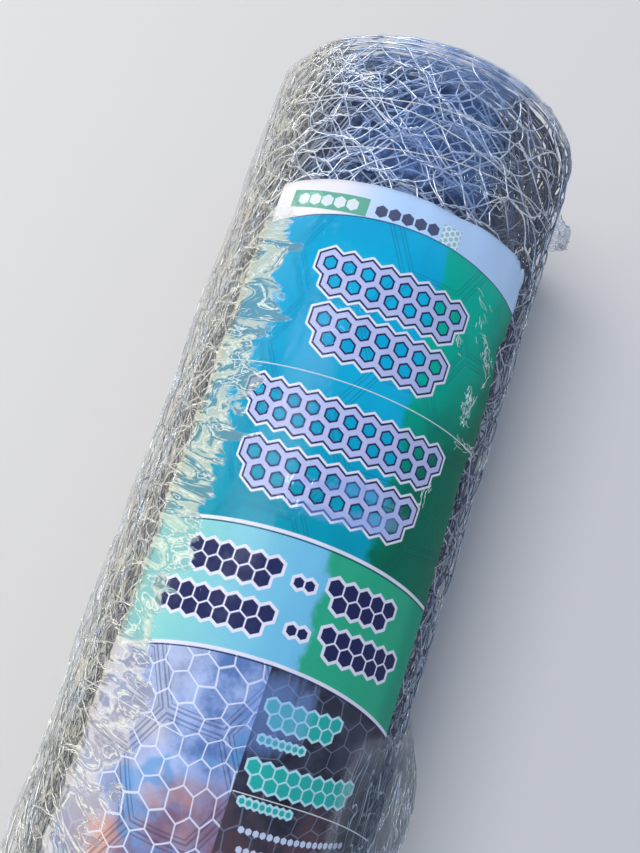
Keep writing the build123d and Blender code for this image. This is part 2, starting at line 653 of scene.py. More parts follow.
def selvage_paths(side, first_turn, last_turn):
    """The two strands of a selvage, twisted slowly round each other."""
    u = np.arange(*strip_at(first_turn, last_turn), SELVAGE_STEP)
    turn = 2 * pi * u / SELVAGE_TWIST + np.array([[0], [pi]])
    v = side * half_strip + TWIST_RADIUS * np.cos(turn)
    lift = TWIST_RADIUS * np.sin(turn) + 0.35 * MM * wander(u, 0.2, 0.05, 6, seed=51)
    return wound(np.broadcast_to(u, v.shape), v, lift)


def zigzag_paths(side, depth, first_turn, last_turn):
    """One wire that runs between the selvage and the first twists, or the next ones."""
    rows = np.arange(*(strip_at(first_turn, last_turn) / ROW).astype(int))
    u = (rows[:, None] * ROW + TWIST * np.array([-0.5, 0.5])).ravel()
    near = np.repeat((rows + depth) % 2, 2)
    draw = np.random.default_rng(60 + depth)
    v = side * (half_strip - (near + depth) * half_mesh) + draw.normal(0, 0.7 * MM, len(u))
    lift = draw.normal(0, 0.4 * MM, len(u))
    return wound(u[None], v[None], lift[None])


INNER_TURNS = TURN_DETAIL[-1][2]  # where the turns begin that have only their edges

for side, end in ((1, "head"), (-1, "foot")):
    edges = [selvage_paths(side, 0, LAST_TURN)]
    edges += [zigzag_paths(side, depth, INNER_TURNS, LAST_TURN) for depth in (0, 1)]
    make_netting(f"selvage_{end}", *joined([wires(*edge, WIRE / 2) for edge in edges]))

BORE_TURN = LAST_TURN - 2
lining = netting_paths(BORE_TURN, LAST_TURN, twist_steps=2, bow_steps=0, seed=70)
make_netting("netting_turns_bore", *wires(*lining, WIRE / 2))

# %% [markdown]
# ## The core
#
# Under the open turns the netting goes on, layer behind layer, until no light comes back.
# A dark sleeve with dished ends takes its place: its darkness is painted shade. It is cloudy,
# so that it still reads as wire where it is seen between the turns. It also has painted
# light: it is lighter on the side towards -X, where the lamps stand, and has a painted
# bluish sky reflection on top at the head end.


# %% Turn the core
CORE_SETBACKS = (16 * MM, 5 * MM)  # from the roll's end, at the bore and at its outside
CORE_DEPTH = 1.5 * MM
CORE_FACETS = 96

angle = (2 * pi * np.arange(CORE_FACETS) / CORE_FACETS)[:, None]
core_outside = turn_radius(INNER_TURNS, angle) - CORE_DEPTH
core_inside = turn_radius(BORE_TURN, angle) + CORE_DEPTH
core_setback = np.array([[CORE_SETBACKS[k] for k in (0, 1, 1, 0)]])
core_end = (half_strip - core_setback) * (-1, -1, 1, 1)
core_radius = np.concatenate([core_inside, core_outside, core_outside, core_inside], axis=1)
points = around_axis(angle + 0 * core_radius, core_radius, core_end)


def ring_faces(steps, corners, closed):
    """Faces of a profile carried round the axis, from its last step back to its first."""
    corner = np.arange(steps * corners).reshape(steps, corners)
    return grid_faces(np.pad(corner, ((0, 1), (0, int(closed))), mode="wrap"))


core_material, place, drive = new_material("inner_turns", Metallic=0.3, Roughness=0.6)
across, along, up = place.parts()
# Painted light: lighter towards -X, where the lamps stand, and a painted bluish sky reflection on
# top at the head end.
lit_side = across.rises(0.05, -0.01)
shade = place.cloud(260, detail=4).rises(0.45, 0.65) * (0.35 + 0.65 * lit_side)
painted_sky_top = along.rises(0.28, 0.36) * (up - axis_height).rises(0.0, 0.04)
darkest = painted_sky_top.between(ink(42, 46, 54), ink(32, 48, 84))
palest = painted_sky_top.between(ink(104, 110, 120), ink(102, 138, 188))
drive("Base Color", shade.between(darkest, palest))
points, faces = points.reshape(-1, 3), [ring_faces(CORE_FACETS, 4, closed=True)]
core = make_piece(
    "inner_turns", points, faces, core_material, "galvanized_wire", "netting_roll"
)
core.data.shade_flat()

# %% [markdown]
# ## The label's sheet
#
# The label is a sheet of coated paper. It bends round the roll and settles between the
# wires, so it is a grid of points at the label's radius with shallow dents. Its head edge
# isn't straight: one corner has slid down, and the other is torn. Its right edge is
# frayed. A Solidify modifier gives it the thickness of stiff paper.

# %% Lay the label
LABEL_DENT = 0.12 * MM  # about how deep its dents are
PAPER = 0.2 * MM  # its thickness


def head_edge_drop(x):
    """How far the head edge lies below its line, for x in mm round the roll from its top."""
    slid = 4.0 * ((-25 - x) / 32).clip(0, 1) ** 1.6
    torn = ((x - 61) / 3).clip(0, 1) * (2.6 + 1.6 * wander(x, 12, 3, 6, seed=84))
    return (0.35 * wander(x, 60, 12, 5, seed=83) + slid + torn).clip(0) * MM


RIGHT_EDGE = (
    # mm below the head edge, and how far the right edge lies inside its line there, in mm
    *((0, 0.6), (18, 0.2), (32, 0.6), (42, 4.6), (50, 1.6)),
    *((62, 0), (88, 0), (97, 3.2), (117, 2.0), (150, 0)),
)


def right_edge_inset(d):
    """How far the frayed right edge lies inside its line, d mm below the head edge."""
    places, insets = np.array(RIGHT_EDGE).T
    return (np.interp(d, places, insets) + 0.5 * wander(d, 14, 4, 7, seed=85)).clip(0) * MM


def label_grid(across_steps, along_steps):
    """The label as a grid: angle across, y along, and a radius with shallow dents."""
    across, along, corner = point_grid(across_steps, along_steps)
    label_length = label_high.y - label_low.y
    inset = right_edge_inset(along * label_length / MM)
    angle = label_angles[0] + across * (np.ptp(label_angles) - inset / label_radius)
    drop = head_edge_drop(angle * label_radius / MM)
    y = label_high.y - drop - along * (label_length - drop)
    dents = waves(angle * label_radius, y, 0.05, 0.012, 14, seed=81)
    radius = label_radius - LABEL_DENT + LABEL_DENT * dents.clip(-1.5, 1)
    return around_axis(angle, radius, y).reshape(-1, 3), [grid_faces(corner)]


label_material, place, drive = new_material(
    "label_paper", Roughness=0.38, Specular_IOR_Level=0.06
)
label = make_piece("label_sheet", *label_grid(100, 160), label_material, "label_paper", "label")
thicken = label.modifiers.new("paper", "SOLIDIFY")
thicken.thickness = PAPER
thicken.offset = -1
print("label spans", np.round(np.degrees(label_angles), 1).tolist(), "degrees round the roll")

# %% [markdown]
# ## What is printed on the label
#
# The print is a formula over the sheet, in millimetres: `x` goes round the roll from its
# top line, and `d` down from the label's head edge. A white head band ends in an arc; painted
# light turns it from a warm white on the left to a bluish white on the right. The panel below
# turns from blue to green and holds rows of hexagonal links. Its blue side is partly print
# and partly a painted sky reflection. Two more arcs close a paler band, whose light blue is
# partly a painted sky reflection too, and under them lies a field of wire netting beside a
# dark panel.
#
# Each shape is a distance: how far a point lies inside the nearest hexagon. One distance
# gives the outline, the fill and the rim, as bands of it.

# %% The label's own coordinates, and its shapes
across, along, up = place.parts()
x = across.math("ARCTAN2", across, up - axis_height) * (label_radius / MM)
d = (label_high.y - along) / MM


def net_gap(x, y, mesh):
    """How far a point is from the nearest line of a net of hexagons.

    The hexagons' middles form two staggered grids. In each grid the distance to the
    nearest side is mesh/2 less the larger of |v| and 0.866 |u| + 0.5 |v|, where u and v
    lead to the nearest middle. The point lies in the hexagon where that is larger.
    """
    gaps = []
    for shift in (0.0, 0.5):
        u = abs(((x / (mesh * 3**0.5) + shift).wraps() - 0.5) * (mesh * 3**0.5))
        v = abs(((y / mesh + shift).wraps() - 0.5) * mesh)
        gaps.append(mesh / 2 - v.most(0.866 * u + 0.5 * v))
    return gaps[0].most(gaps[1])


def honeycomb(left, middle, count, mesh, rows=1, tilt=0.0, curve=0.0):
    """How far a point is inside the cells of a small honeycomb, in mm, and from their lines.

    The honeycomb's middle line is middle + tilt x + curve x squared. Its rows are 0.866
    meshes apart, and every other one is half a mesh to the right with a cell fewer. In a
    cell the distance is mesh/2 less the larger of u and 0.5 u + 0.866 v.
    """
    inside = lines = None
    level = d - x * tilt - x * x * curve - middle
    for row in range(rows):
        odd = row % 2
        cell = ((x - left) / mesh - odd / 2).floor().most(0.0).least(count - 1.0 - odd)
        u = abs(x - (cell + (odd + 1) / 2) * mesh - left)
        v = abs(level - (row - (rows - 1) / 2) * 0.866 * mesh)
        depth = mesh / 2 - u.most(0.5 * u + 0.866 * v)
        inside = inside.most(depth) if inside else depth
        lines = lines.least(abs(depth)) if lines else abs(depth)
    return inside, lines


def all_of(rows):
    """Several honeycombs as one: the distance inside the nearest, and from its lines."""
    inside, lines = honeycomb(*rows[0])
    for row in rows[1:]:
        more_inside, more_lines = honeycomb(*row)
        inside, lines = inside.most(more_inside), lines.least(more_lines)
    return inside, lines


def arc(start, curve, centre):
    """How far a point is below an arc that hangs from `start` at x = centre."""
    return d - start - (x - centre) * (x - centre) * curve


def band(distance, start, end, soft=0.15):
    """1 between two distances, and 0 outside them."""
    return distance.within(start - soft, start + soft, end - soft, end + soft)


def below(edge):
    """1 below an arc and 0 above it."""
    return edge.rises(-0.1, 0.1)


# %% The panels of the print
WHITE = ink(232, 232, 244)
NAVY = ink(38, 44, 88)
LAVENDER = ink(190, 196, 236)
SKY_BLUE = ink(0, 162, 206)
LIGHT_BLUE = ink(20, 184, 226)
LEAF_GREEN = ink(0, 184, 158)
DEEP_GREEN = ink(0, 112, 86)
TEAL = ink(0, 150, 166)
MINT = ink(140, 212, 208)

paper_cloud = place.cloud(30, detail=4)
edge_cloud = place.cloud(90, detail=3)
head_arc = arc(14.4, 0.00205, 6.7)
band_arc = arc(149.7, 0.00289, 3.3)
field_arc = arc(198.6, 0.00428, 4.2)
foot_arc = arc(352.0, 0.0031, 4.0)

# The wavy line where blue gives way to green: left of it the blue is partly print and partly a
# painted sky reflection, and right of it lies the green print.
wavy = (x - 24 - d * 0.06 + (edge_cloud - 0.5) * 14).rises(-1.5, 3)
blue_side = (paper_cloud * 1.2 + x * 0.008 - 0.1).rises(0.2, 0.9).between(SKY_BLUE, LIGHT_BLUE)
blue_side = layered(blue_side, (TEAL, (d + paper_cloud * 60).rises(90, 190) * 0.8))
deeper = (x * 0.016 + d * 0.007 - 1.15 + paper_cloud).rises(0.2, 1.0)
green_side = deeper.between(LEAF_GREEN, DEEP_GREEN)

# The watermark: a thin double line along the sides of very large hexagons.
large = net_gap(x + 13, d + 9, 43)
watermark = (band(large, 0.9, 1.5) + band(large, 2.3, 2.9)).least(1.0) * 0.3

# The paler band between the two lower arcs. Its light blue is partly print and partly a painted sky
# reflection, and it turns green at a wavy line.
pale_band = layered(
    (x + 30 + paper_cloud * 24).rises(0, 60).between(MINT, ink(118, 196, 232)),
    (ink(48, 176, 136), (x - 18 + (edge_cloud - 0.5) * 16).rises(-2, 3)),
    (ink(14, 156, 124), (x - 58).rises(0, 12)),
)
print_and_painted_light = layered(
    wavy.between(blue_side, green_side), (NAVY, watermark), (pale_band, below(band_arc))
)
print("arcs, panels and watermark are in the print")

# %% The rows of honeycomb
OUTLINED_ROWS = (
    # left, middle, count, mesh, rows, tilt
    (-25, 43.0, 8, 8.4, 2, 0.06),
    (-20, 67.0, 7, 8.6, 2, 0.06),
    (-37, 103.0, 11, 8.2, 2, 0.06),
    (-30, 128.0, 9, 8.6, 2, 0.06),
)
inside, lines = all_of(OUTLINED_ROWS)
print_and_painted_light = layered(
    print_and_painted_light,
    (WHITE, band(inside, -2.9, -1.9)),
    (NAVY, lines.rises(2.05, 1.75)),
    (LAVENDER, lines.rises(1.25, 0.95)),
)

SOLID_ROWS = (
    # left, middle, count, mesh, rows, tilt, curve
    (-40, 166.0, 6, 6.8, 2, 0.0, 0.0016),
    (6, 166.0, 2, 4.6, 1, 0.0, 0.0016),
    (20, 166.0, 5, 6.8, 2, 0.0, 0.0016),
    (-51, 184.0, 8, 6.8, 2, 0.0, 0.0018),
    (9, 184.0, 2, 4.6, 1, 0.0, 0.0018),
    (23, 184.0, 6, 6.8, 2, 0.0, 0.0018),
)
inside, _ = all_of(SOLID_ROWS)
print_and_painted_light = layered(
    print_and_painted_light, (WHITE, inside.rises(-1.1, -0.8)), (NAVY, inside.rises(0.2, 0.5))
)
print(len(OUTLINED_ROWS), "outlined rows and", len(SOLID_ROWS), "solid groups")

# %% The field of netting and the dark panel beside it
cloudy = place.cloud(38, detail=5, roughness=0.65)
patchy = place.cloud(24, detail=3)
left_field = (x + 14).rises(6, -14)
lower_field = (d - 222).rises(0, 20) * left_field
warm = (d - 246 + (cloudy - 0.5) * 60 + x.least(0.0) * 0.7).rises(-8, 14)
warm = warm * (d - 330).rises(20, -10)
large_lines = (band(large, 0.8, 1.6) + band(large, 2.6, 3.1)).least(1.0)
bend = (place.cloud(22, detail=1) - 0.5) * 16
net = net_gap(d + bend, x + bend, 10.5)

slate = layered(
    cloudy.rises(0.3, 0.7).between(ink(36, 36, 46), ink(76, 80, 98)),
    (ink(98, 66, 66), warm * cloudy.rises(0.42, 0.6) * 0.6),
    (ink(150, 160, 190), net.rises(0.4, 0.2) * 0.35),
)
field = layered(
    cloudy.rises(0.36, 0.62).between(ink(92, 124, 180), ink(170, 192, 238)),
    (ink(206, 204, 206), patchy.rises(0.50, 0.58) * left_field * 0.35),
    (ink(216, 210, 214), lower_field * (0.3 + 0.5 * patchy.rises(0.46, 0.56))),
    (ink(96, 160, 214), band(patchy, 0.36, 0.43, 0.02) * 0.7),
    (ink(132, 84, 98), warm * cloudy.rises(0.35, 0.60) * 0.85),
    (ink(226, 172, 150), warm * patchy.rises(0.39, 0.51) * (x + 4).rises(10, -16) * 0.85),
    (ink(62, 64, 92), large_lines * 0.5),
    (ink(232, 236, 250), net.rises(0.45, 0.2) * 0.8),
    (slate, (x - 8.5).rises(-0.15, 0.15)),
)

TEAL_ROWS = (
    # left, middle, count, mesh, rows, tilt
    (11, 214.5, 6, 5.6, 2, 0.08),
    (12, 224.5, 7, 2.8, 1, 0.08),
    (11, 237.0, 9, 5.6, 2, 0.10),
    (12, 247.5, 8, 2.8, 1, 0.10),
)
# Six fine rows, each lower than the last and a cell shorter.
FINE_ROWS = [(15 + 1.5 * (k % 2), 257.0 + 7.0 * k, 17 - k, 3.0, 1, 0.10) for k in range(6)]
teal_inside, _ = all_of(TEAL_ROWS)
fine_inside, _ = all_of(FINE_ROWS)
field = layered(
    field,
    (ink(184, 228, 236), teal_inside.rises(-0.7, -0.5)),
    (ink(44, 178, 168), teal_inside.rises(0.25, 0.45)),
    (ink(206, 216, 240), fine_inside.rises(0.2, 0.4)),
)
print_and_painted_light = layered(
    print_and_painted_light,
    (field, below(field_arc)),
    (green_side, below(foot_arc)),
    (NAVY, band(large, 0.9, 2.0) * below(foot_arc) * 0.3),
)

# %% The lines of the arcs, and the head band
for edge in (band_arc, field_arc, foot_arc):
    edge_lines = (WHITE, band(edge, -1.3, 0.1)), (NAVY, band(edge, 0.3, 0.8))
    print_and_painted_light = layered(print_and_painted_light, *edge_lines)

green_bar = band(x, -49, -13) * band(d, 6.8, 15.0)
pale_square = band(x, 20, 29) * band(d, 6.4, 15.0)
on_bar, _ = honeycomb(-46, 10.9, 5, 5.8)
beside_bar, _ = honeycomb(-10, 10.9, 5, 5.8)
# The head band's painted light: a warm white on the left that turns to a bluish white on the right.
head = layered(
    (x + 18).rises(-12, 14).between(ink(242, 238, 240), ink(192, 222, 255)),
    (ink(104, 176, 150), green_bar),
    (ink(150, 206, 212), pale_square),
    (ink(236, 244, 248), pale_square * net_gap(x, d, 2.6).rises(0.45, 0.3)),
    (ink(226, 236, 240), on_bar.rises(0.3, 0.5)),
    (ink(78, 84, 112), beside_bar.rises(0.3, 0.5)),
)
head_line = band(head_arc, -0.1, 0.5) * 0.7
print_and_painted_light = layered(print_and_painted_light, (head, head_arc.rises(0.1, -0.1)), (NAVY, head_line))

drive("Base Color", print_and_painted_light)
wrinkle = place.cloud(160, detail=5) * 0.5 + place.cloud(60, detail=3)
drive("Normal", wrinkle.bumps(0.25, 0.0015))
print("label nodes:", len(label_material.node_tree.nodes))

# %% [markdown]
# ## The film
#
# Shrink film is clear, thin and glossy. It clings to the label, stands off a little where
# it bridges from wire to wire, and hangs loose in two places: along the slack side, and
# where a slack fold of it bags out beside the label. At the ends it is drawn over the rim
# and leaves a round mouth. It is one surface of revolution: a profile from one mouth to
# the other, carried round the axis, with its radius pushed in and out.

# %% Stretch the film
def make_film(name, points, faces, material):
    """A piece of the film. It casts no shadow, and scattered light passes it."""
    piece = make_piece(name, points, faces, material, "clear_film", "film_wrap")
    piece.visible_shadow = piece.visible_diffuse = False


FILM_MOUTH = 52 * MM  # the radius of its mouths
MOUTH_WAVER = 3 * MM  # how far the mouth's edge wavers in and out
MOUTH_PLEATS = 0.0022  # how far the pleats pull it in, as a share of the half length
RIM_ROUNDING = 2.5 * MM
FILM_ROUND = 224  # points round the sleeve
CLING = 0.22 * MM  # the size of its dips between the wires
BAG_ANGLE, BAG_Y = np.radians(86), 108 * MM  # the middle of the bag
BAG_SPREAD, BAG_LENGTH, BAG_DEPTH = np.radians(23), 50 * MM, 13.5 * MM


def film_offset(angle, y):
    """How far the film's side stands out from the film's radius, as a smooth field.

    It is the sum of fine dips wherever no label lies, a loose standing-off on the slack
    side, and one bag: a bell over the angle times a flatter bell over y.
    """
    arc_length = angle * film_radius
    on_label = (angle > label_angles[0]) & (angle < label_angles[1])
    on_label = on_label & (y > label_low.y) & (y < label_high.y)
    cling = CLING * (waves(arc_length, y, 0.05, 0.012, 16, seed=91).clip(-1.5, 1) - 1)
    away = np.exp(-(((angle - BAG_ANGLE) / BAG_SPREAD) ** 2) - ((y - BAG_Y) / BAG_LENGTH) ** 4)
    creased = 1 + 0.1 * waves(arc_length, y, 0.07, 0.02, 10, seed=95).clip(-1.5, 1)
    return cling * ~on_label + lumps(angle, y) + BAG_DEPTH * away * creased


def film_profile(side_steps, rim_steps, face_steps):
    """(radius, y) points from the foot's mouth, over its rim, along the side and back."""
    rim = np.linspace(0, pi / 2, rim_steps + 1)
    flat = np.linspace(FILM_MOUTH, film_radius - RIM_ROUNDING, face_steps + 1)[:-1]
    rim_radius = film_radius - RIM_ROUNDING + RIM_ROUNDING * np.sin(rim)
    rim_y = film_end + END_BULGE - RIM_ROUNDING + RIM_ROUNDING * np.cos(rim)
    side_y = np.linspace(-rim_y[-1], rim_y[-1], side_steps + 1)[1:-1]
    flat_y = np.linspace(film_end, film_end + END_BULGE, face_steps + 1)[:-1]
    side = np.full(side_steps - 1, film_radius)
    radius = np.concatenate([flat, rim_radius, side, rim_radius[::-1], flat[::-1]])
    return radius, np.concatenate([-flat_y, -rim_y, side_y, rim_y[::-1], flat_y[::-1]])


profile_radius, profile_y = film_profile(side_steps=200, rim_steps=6, face_steps=9)
angle = (2 * pi * np.arange(FILM_ROUND) / FILM_ROUND - pi)[:, None]
on_side = (profile_radius >= film_radius) * 1.0
to_mouth = (film_radius - profile_radius) / (film_radius - FILM_MOUTH)

radius = profile_radius + film_offset(angle, profile_y[None]) * on_side
radius = radius + MOUTH_WAVER * to_mouth**3 * wander(angle, 1.5, 0.3, 6, seed=94)
pleats = wander(angle * 4, 0.9, 0.25, 9, seed=93)
y = profile_y * (1 - MOUTH_PLEATS * to_mouth * (1 + pleats).clip(0, 2.5))
points = around_axis(angle + 0 * radius, radius, y).reshape(-1, 3)
faces = [ring_faces(FILM_ROUND, len(profile_y), closed=False)]
film_material, place, drive = new_material("clear_film", Metallic=1.0)
make_film("film_sleeve", points, faces, film_material)

# %% [markdown]
# ## How clear film looks
#
# Film shows what lies under it and reflects the sky at the same time. So its finish is a
# mirror that is mostly see-through: its opacity is the Fresnel reflection, held low at the
# outline because thin film is never flat there. In a few patches a painted sky reflection
# raises it and tints the mirror blue. Where it is crinkled it turns milky, and milky film
# scatters light instead of mirroring it. The crinkles gather in lobes along the label's left
# edge, in combed streaks on the slack side and in scratches on the bag. Their colour has
# painted light in it: a painted warm reflection on the lobes and the slack side, and painted
# shade on the bag.

# %% The clouds that its crinkles follow
across, along, up = place.parts()
turned = across.math("ARCTAN2", across, up - axis_height)


def laid_flat(share):
    """The film's side laid flat, with the way round it shortened to this share."""
    flat = {0: turned * (film_radius * share), 1: along}
    return place.node("ShaderNodeCombineXYZ", {}, flat)


lengthwise, combed = place.scaled(1.0, 0.45, 1.0), place.scaled(1.0, 0.2, 1.0)
fine = lengthwise.cloud(150, detail=4, distortion=1.2)
broad = lengthwise.cloud(45, detail=3, distortion=0.6)
swirl = laid_flat(0.45).cloud(72, detail=5, distortion=1.7)
streaks = combed.cloud(260, detail=3, distortion=1.0)
scratches = abs(combed.cloud(150, detail=2, distortion=0.6) - 0.5).rises(0.022, 0.006)
bands = laid_flat(0.1).cloud(170, detail=3)
print("nodes for the clouds:", len(film_material.node_tree.nodes))

# %% Where it is milky
# How milky each kind of crinkle is, from 0 for clear to 1.
GATHERED, LOBED, RIPPLED = 0.64, 0.18, 0.86
COMBED, STREAKED = 0.08, 0.44
BAGGED, CLOUDED, SCRATCHED = 0.32, 0.30, 0.7
HAZE, PRESSED_HAZE = 0.06, 0.01

by_label = (label_high.y - along).rises(0.005, 0.030) * along.rises(label_low.y - 0.02, label_low.y)
ragged = turned + (broad - 0.5) * 0.34 + (swirl - 0.5) * 0.5
outer_edge = turned + (swirl - 0.5) * 0.10
label_edge = ragged.rises(-0.43, -0.47) * outer_edge.rises(-0.735, -0.715) * by_label
slack_side = outer_edge.rises(-0.70, -0.74) * turned.rises(-2.4, -2.0)
tight_side = turned.within(0.5, 0.8, 2.0, 2.4)

lobes = swirl.rises(0.50, 0.53)
ripples = abs(swirl - 0.44).rises(0.03, 0.0).most(abs(swirl - 0.57).rises(0.02, 0.0))
gathered = label_edge * (GATHERED + LOBED * lobes).most(RIPPLED * ripples)
combed_out = slack_side * (COMBED + STREAKED * streaks.rises(0.55, 0.63))
by_bag = along.within(0.0, 0.05, 0.156, 0.172) * turned.within(0.60, 0.76, 2.0, 2.3)
bagged = by_bag * (BAGGED + CLOUDED * broad.rises(0.4, 0.6)).most(SCRATCHED * scratches)
on_label = turned.within(-0.70, -0.68, 0.90, 0.92) * by_label
pressed = on_label.most(tight_side)
hazy = (HAZE - (HAZE - PRESSED_HAZE) * pressed) * fine.rises(0.45, 0.6)
milky = gathered.most(combed_out).most(bagged).most(hazy)
print("nodes for the crinkles:", len(film_material.node_tree.nodes))

# %% Where it has painted sky reflections
# Painted sky reflections: patches where the film mirrors more, with its mirror tinted blue.
SKY_GLARE = 0.19  # beside the label's head edge
GLARES = (
    # how strong, its middle (angle, y), its reach (angle, y), and the cloud at which its
    # bands are full, or None where it has no bands
    (0.42, 0.20, 0.173, 0.17, 0.020, None),
    (0.40, 0.20, 0.256, 0.42, 0.012, 0.60),
    (0.030, 0.22, 0.319, 0.40, 0.018, 0.62),
)

ragged_side = turned + (broad - 0.5) * 0.6 + (fine - 0.5) * 0.3
sky_patch = turned.rises(-0.45, -0.15) * ragged_side.rises(0.50, 0.42) * along.rises(0.388, 0.400)
glare = SKY_GLARE * sky_patch * (0.5 + 0.5 * broad.rises(0.40, 0.60))
for strength, angle, y, angle_reach, y_reach, banded in GLARES:
    # 1 in the middle of an oval, and 0 past its ragged edge.
    away = ((turned - angle) / angle_reach) ** 2 + ((along - y) / y_reach) ** 2
    patch = strength * (away + (broad - 0.5) * 2.0 + (fine - 0.5)).rises(1.0, 0.3)
    glare = glare.most(patch * bands.rises(0.46, banded) if banded else patch)
print(len(GLARES), "glares on the label, and one beside its head edge")

# %% Finish the film
HIGHEST, HIGHEST_SLACK, HIGHEST_TIGHT = 0.13, 0.33, 0.05  # the most that clear film mirrors

fresnel = place.node("ShaderNodeFresnel", {}, {"IOR": 1.45})
highest = HIGHEST + (HIGHEST_SLACK - HIGHEST) * turned.within(-2.6, -2.2, -1.2, -0.95)
highest = highest - (HIGHEST - HIGHEST_TIGHT) * tight_side
clear = (fresnel * (1.25 - on_label)).least(highest).most(glare)
drive("Alpha", clear.most(milky))
scatters = milky.rises(0.10, 0.25)
drive("Metallic", 1.0 - scatters)
drive("Roughness", 0.08 + 0.3 * scatters)

in_band, in_field = along.rises(0.240, 0.226), along.rises(0.184, 0.172)
gap_tint = layered(
    ink(92, 130, 136), (ink(126, 178, 172), in_band), (ink(150, 148, 160), in_field)
)
# The lobes' cream is a painted warm reflection.
lobe_tint = layered(
    ink(190, 198, 176), (ink(190, 210, 190), in_band), (ink(208, 202, 202), in_field)
)
# Painted warm light on the slack side's streaks.
slack_tint = turned.rises(-1.9, -1.4).between(ink(218, 220, 220), ink(216, 212, 188))
# Milky colours with painted light laid in: a painted warm highlight on the ripples, and painted
# shade on the bag between its scratches.
milky_tint_with_painted_light = layered(
    ink(226, 230, 236),
    (lobes.between(gap_tint, lobe_tint), label_edge),
    (slack_tint, slack_side),
    (scratches.between(ink(88, 104, 114), ink(178, 196, 214)), by_bag),
    (ink(240, 240, 218), label_edge * ripples),
)
# In the glares the mirror is tinted a painted sky blue.
mirrored_tint = glare.rises(0.0, 0.1).between(ink(232, 238, 250), ink(176, 206, 255))
drive("Base Color", scatters.between(mirrored_tint, milky_tint_with_painted_light))
drive("Normal", (fine * 0.5 + broad + 0.5 * swirl * label_edge).bumps(0.5, 0.002))
print("film nodes:", len(film_material.node_tree.nodes))

# %% [markdown]
# ## Folds in the film
#
# Where the film shrank against itself it left long thin folds that run round the roll.
# Each is a fine cord of film laid on the sleeve, along a smooth curve through a few places.
# Its near-white colour is partly the fold's own whitening and partly a painted highlight.

# %% Lay the folds
FOLDS = (
    # each place is (degrees from the top, millimetres from the head end)
    ((-46, 30), (-17, 32), (0, 36), (17, 41), (35, 44), (62, 46)),
    ((-46, 31), (-17, 32), (0, 29), (17, 27.5), (35, 29), (62, 34)),
    ((-46, 60), (-17, 55.5), (0, 51.5), (17, 48), (35, 45.5), (60, 41)),
    ((-44, 160), (-17, 156.5), (3, 155), (31, 158.5), (52, 163)),
    ((-50, 306), (-30, 303), (-10, 304)),
    ((6, 316), (23, 318), (40, 324), (56, 334)),
)
FOLD_WIDTH = 0.45 * MM
FOLD_POINTS = 60
CORD_LIFT = 0.05 * MM  # how far outside the sleeve the middle of a fold or crease lies


def on_film(angle, y):
    """Paths on the film's side, and the direction outwards along them."""
    radius = film_radius + film_offset(angle, y) + CORD_LIFT
    return around_axis(angle, radius, y), outwards_at(angle)


def make_film_cords(name, laid, width, sides, material):
    """Fine cords of film from several (paths, outward), each (cords, points, 3)."""
    paths, outward = (np.concatenate(parts) for parts in zip(*laid))
    make_film(name, *wires(paths, outward, width / 2, sides), material)


laid = []
for fold in FOLDS:
    degrees, distance = np.array(fold).T
    angle = np.radians(np.linspace(degrees[0], degrees[-1], FOLD_POINTS))
    curve = np.polyfit(np.radians(degrees), distance, min(3, len(fold) - 1))
    y = film_end - np.polyval(curve, angle) * MM
    laid.append(on_film(angle[None], y[None]))
# Near-white and nearly opaque: partly whitened film and partly a painted highlight.
fold_material, place, drive = new_material("film_fold", Roughness=0.25, Alpha=0.82)
drive("Base Color", place.cloud(120).between(ink(214, 220, 224), ink(254, 254, 254)))
make_film_cords("film_folds", laid, FOLD_WIDTH, 5, fold_material)

# %% [markdown]
# ## Creases in the film
#
# Sharp short creases catch the light: in a few scribbles right of the print, in sparks
# near the head end and down the tight side, in spikes that point out of the gathers along
# the label's left edge, and in long strokes down the slack side and over the bag. Their
# near-white colour is a painted glint, and the rest of their shine is rendered from the
# lamps and the sky. Each group is strewn along a line on the sleeve, with a heading of its own.

# %% Strew the creases
CREASES = (
    # a line from one place to another, each (degrees from the top, mm from the head end),
    # how far to its sides in mm, heading and its scatter in degrees, how many, how long in mm
    ((35, 107), (46, 127), 1.8, 46, 28, 44, 4.5),
    ((46.5, 127), (42.3, 146), 0.3, 107, 6, 8, 8.0),
    ((40, 137), (41.5, 153), 1.8, 80, 24, 52, 4.5),
    ((40, 160.5), (54, 162.5), 1.3, 5, 24, 36, 5.5),
    ((31, 97), (41, 104), 2.5, 24, 6, 4, 8.0),
    ((35, 184), (34, 194), 1.2, 95, 15, 12, 5.0),
    ((28, 118), (31, 126), 1.6, 60, 25, 9, 4.0),
    ((19, 36), (34, 42), 3.5, 20, 50, 40, 4.0),
    ((17, 53), (30, 56), 3.5, 20, 50, 44, 4.0),
    ((66, 60), (60, 300), 5.0, 90, 28, 110, 7.0),
    ((66, 300), (84, 400), 9.0, 100, 30, 90, 9.0),
    ((-37, 96), (-33, 160), 6.0, -20, 22, 80, 6.0),
    ((-35, 160), (-31, 226), 6.0, -20, 22, 80, 6.0),
    ((-50, 30), (-54, 420), 5.0, 88, 20, 300, 15.0),
    ((-64, 120), (-70, 440), 8.0, 86, 24, 160, 15.0),
    ((72, 310), (96, 400), 7.0, 82, 16, 50, 20.0),
)
CREASE_WIDTH = 0.25 * MM
CREASE_POINTS = 6
CREASE_BEND = 0.6  # about how far a crease turns from end to end, in radians

